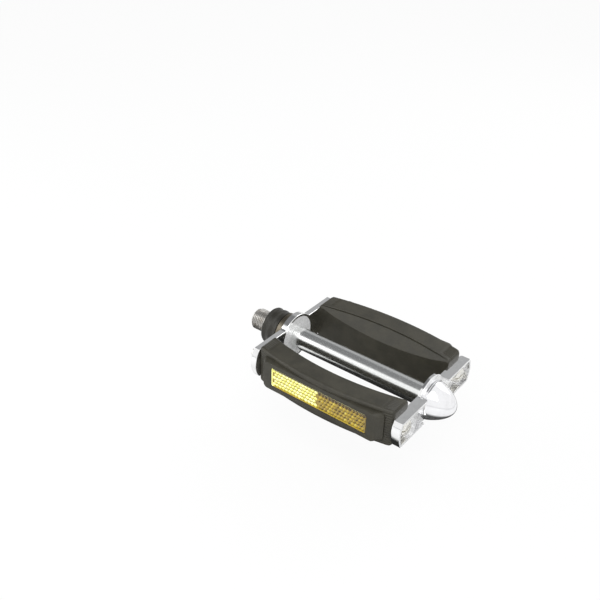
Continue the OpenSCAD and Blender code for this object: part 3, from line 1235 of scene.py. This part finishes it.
@dataclass
class ThroughBolt:
    """A slotted bolt with a rolled thread at its tail."""

    side: Side
    pitch: float = 1.0 * MM
    thread_len: float = 15.0 * MM
    root: float = 2.55 * MM

    def build(self) -> bpy.types.Object:
        """Builds the bolt.

        Returns:
            The piece.
        """
        node = f"{Side.REAR.word}_bolt"
        low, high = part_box(node)
        y = (low.y + high.y) / 2
        shaper = Shaper.from_node(node)
        shank = (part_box("bolt_nuts")[1].x - low.x, 3.0 * MM)
        tail = [v for v in shaper.bm.verts if v.co.x < low.x + 0.01 * MM]
        for vert in tail:
            vert.co.y = y + (vert.co.y - y) * self.root / shank[1]
            vert.co.z *= self.root / shank[1]
        ring = [v for v in shaper.bm.verts if math.hypot(v.co.y - y, v.co.z) < shank[1] + 0.1 * MM and v not in tail]
        del ring
        shaper.soften(0.55 * MM, 3, 35.0, lambda e: max(v.co.x for v in e.verts) > high.x - 1.4 * MM)
        shaper.thread(self.root, shank[1], self.pitch, low.x + 0.3 * MM, low.x + self.thread_len, y)
        if self.side is Side.FRONT:
            shaper.mirrored()
        word = self.side.word
        return shaper.piece(f"{word}_slotted_bolt", Body.PEDAL, Slot.FASTENER, [f"{word}_bolt"])


@dataclass
class Spindle:
    """The spindle, with its crank thread cut as a helix."""

    node: str = "spindle"
    pitch: float = 1.27 * MM
    root: float = 6.45 * MM

    def build(self) -> bpy.types.Object:
        """Builds the spindle.

        Returns:
            The piece.
        """
        low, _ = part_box(self.node)
        crest = 7.14 * MM
        shaper = Shaper.from_node(self.node)
        for vert in shaper.bm.verts:
            radius = math.hypot(vert.co.y, vert.co.z)
            if vert.co.x < 1e-6 and radius < crest + 0.01 * MM and radius > self.root:
                vert.co.y *= self.root / radius
                vert.co.z *= self.root / radius
        shaper.soften(0.25 * MM, 2, 40.0, lambda e: max(v.co.x for v in e.verts) < 14 * MM)
        shaper.thread(self.root - 0.05 * MM, crest, self.pitch, low.x + 0.5 * MM, -0.2 * MM)
        return shaper.piece("threaded_spindle", Body.SPINDLE, Slot.SPINDLE, [self.node])


@dataclass
class DustBoot:
    """The rubber boot behind the inner bearing, with two shallow folds."""

    node: str = "dust_boot"
    wall: float = 1.4 * MM
    bore: float = 9.55 * MM
    fold: float = 0.5 * MM

    def build(self) -> bpy.types.Object:
        """Builds the boot.

        Returns:
            The piece.
        """
        low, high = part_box(self.node)
        r, x0, x1 = high.z, low.x, high.x
        steps = 28
        outer = [(self.bore, x0), (r - 0.9 * MM, x0), (r - 0.3 * MM, x0 + 0.3 * MM)]
        for i in range(steps + 1):
            t = i / steps
            x = x0 + 0.8 * MM + (x1 - x0 - 1.0 * MM) * t
            outer.append((r - self.fold * (0.5 - 0.5 * math.cos(2 * math.pi * 2 * t)), x))
        inner = [(r - self.wall, x1), (r - self.wall, x0 + self.wall), (self.bore, x0 + self.wall)]
        shaper = Shaper()
        shaper.turn(outer + [(r - 0.3 * MM, x1)] + inner)
        return shaper.piece("spindle_boot", Body.SPINDLE, Slot.BOOT, [self.node])


@dataclass
class SoftenedPart:
    """A turned or stamped part that keeps its CAD shape, with its edges broken."""

    node: str
    body: Body
    slot: Slot
    edge: float = 0.25 * MM

    def build(self) -> bpy.types.Object:
        """Builds the part.

        Returns:
            The piece.
        """
        shaper = Shaper.from_node(self.node)
        shaper.soften(self.edge, 2, 35.0)
        return shaper.piece(f"{self.node}_part", self.body, self.slot, [self.node])


# ---- Studio ----


@dataclass
class Studio:
    """A pale floor, soft lamps and the camera."""

    floor_z: float = -0.055
    camera_at: Vector = field(default_factory=lambda: Vector((0.28092, -0.34412, 0.30452)))
    camera_turn: tuple[float, float, float] = (57.1823, -1.3890, 37.8127)
    lens: float = 49.285
    shift_y: float = 0.0025
    key_power: float = 3.2
    fill_power: float = 1.6

    def camera(self) -> None:
        """Makes the camera."""
        data = bpy.data.cameras.new("camera")
        data.lens = self.lens
        data.sensor_width = 36.0
        data.clip_start = 0.01
        data.shift_y = self.shift_y
        camera = bpy.data.objects.new("camera", data)
        camera.location = self.camera_at
        camera.rotation_euler = Euler([math.radians(a) for a in self.camera_turn])
        bpy.context.scene.collection.objects.link(camera)
        bpy.context.scene.camera = camera

    def lamp(self, name: str, at: Vector, aim: Vector, size: float, power: float) -> None:
        """Adds a soft square lamp.

        Args:
            name: its name.
            at: where it stands.
            aim: what it points at.
            size: its side.
            power: its power in watts.
        """
        data = bpy.data.lights.new(name, "AREA")
        data.shape = "SQUARE"
        data.size = size
        data.energy = power
        lamp = bpy.data.objects.new(name, data)
        lamp.location = at
        lamp.rotation_euler = (aim - at).to_track_quat("-Z", "Y").to_euler()
        bpy.context.scene.collection.objects.link(lamp)

    def world(self) -> None:
        """Makes a pale world: white behind the object, greyer high at the back."""
        g = Graph("studio", world=True)
        bpy.context.scene.world = g.material
        path = g.node("ShaderNodeLightPath", {}).outputs
        x, y, z = g.axes(g.value("ShaderNodeTexCoord", {}, out="Generated"))
        back = x.over(-0.1, -0.28) * y.over(-0.45, -0.3) * z.over(-0.05, 0.15)
        grey = g.mix(y.over(0.5, 0.64), (0.21, 0.213, 0.218), (0.43, 0.435, 0.44))
        mirror = g.mix(back, (1.0, 1.0, 1.0), grey)
        seen = g.mix(path["Is Glossy Ray"], (0.72, 0.725, 0.73), mirror)
        sky = g.mix(path["Is Camera Ray"], seen, (1.0, 1.0, 1.0))
        shader = g.node("ShaderNodeBackground", {}, sky, 1.0)
        g.node("ShaderNodeOutputWorld", {}, shader.outputs[0])

    def floor(self) -> None:
        """Makes the floor, white to the camera apart from the object's shadow, with a painted shadow under the pedal
        that only reflections see.
        """
        bm = bmesh.new()
        bmesh.ops.create_grid(
            bm, x_segments=8, y_segments=8, size=4.0, matrix=Matrix.Translation((0, 0, self.floor_z))
        )
        mesh = bpy.data.meshes.new("floor")
        bm.to_mesh(mesh)
        bm.free()
        floor = bpy.data.objects.new("floor", mesh)
        bpy.context.scene.collection.objects.link(floor)
        g = Graph("floor")
        path = g.node("ShaderNodeLightPath", {}).outputs
        x, y, _ = g.axes(g.place())
        # Painted shadow: reflections see a dark patch on the floor under the pedal
        reach = (((x - 72.0) / 82.0) ** 2.0 + (abs(y - 38.0) / 112.0) ** 2.0) ** 0.5
        under = Value(g, path["Is Glossy Ray"]) * reach.over(1.2, 0.95)
        matt = g.node("ShaderNodeBsdfDiffuse", {}, g.mix(under, (0.88, 0.88, 0.875), (0.03, 0.03, 0.028)))
        glow = g.node("ShaderNodeEmission", {}, (1.0, 1.0, 1.0), 1.0)
        share = Value(g, path["Is Camera Ray"]) * 0.9
        both = g.node("ShaderNodeMixShader", {}, share, matt.outputs[0], glow.outputs[0])
        g.node("ShaderNodeOutputMaterial", {}, both.outputs[0])
        mesh.materials.append(g.material)

    def build(self) -> None:
        """Sets the stage."""
        scene = bpy.context.scene
        scene.view_settings.view_transform = "Standard"
        low, high = Vector(CAD_BOX[0]), Vector(CAD_BOX[1])
        middle = (low + high) / 2
        self.camera()
        self.world()
        self.floor()
        self.lamp("key", middle + Vector((0.25, -0.45, 0.75)), middle, 0.6, self.key_power)
        self.lamp("fill", middle + Vector((-0.6, -0.35, 0.35)), middle, 0.5, self.fill_power)
        self.lamp("back", middle + Vector((0.1, 0.7, 0.5)), middle, 0.5, self.fill_power)


# ---- The pedal ----


@dataclass
class Pedal:
    """The whole pedal, sub-assembly by sub-assembly."""

    plain: dict[str, Slot] = field(
        default_factory=lambda: {
            "inner_balls": Slot.BALL,
            "outer_balls": Slot.BALL,
            "bearing_shield": Slot.BEARING,
            "lock_washer": Slot.BEARING,
            "front_reflector_back": Slot.LENS_BACK,
            "rear_reflector_back": Slot.LENS_BACK,
            "front_sleeve": Slot.FASTENER,
            "rear_sleeve": Slot.FASTENER,
        }
    )

    def parts(self) -> list:
        """Every builder, in order."""
        made: list = []
        for side in Side:
            made += [RubberBlock(side), Reflector(side), ThroughBolt(side)]
        made += [EndPlate("inner_plate", -1), EndPlate("outer_plate", 1, flat_r=15.3 * MM)]
        made += [Barrel(), DustCap(), Spindle(), DustBoot()]
        for node in ("head_washers", "nut_washers", "bolt_nuts"):
            made.append(SoftenedPart(node, Body.PEDAL, Slot.FASTENER))
        made.append(SoftenedPart("inner_cup", Body.PEDAL, Slot.CUP))
        made.append(SoftenedPart("outer_cup", Body.PEDAL, Slot.BEARING))
        for node in ("adjusting_cone", "lock_nut"):
            made.append(SoftenedPart(node, Body.SPINDLE, Slot.BEARING))
        return made

    def build(self) -> None:
        """Builds and dresses every piece."""
        for part in self.parts():
            part.build()
        for node, slot in self.plain.items():
            dress(node, slot)


def main() -> None:
    """Builds the pedal and its studio."""
    logging.basicConfig(level=logging.INFO, format="%(relativeCreated)d %(message)s")
    Pedal().build()
    Studio().build()


if __name__ == "__main__":
    main()
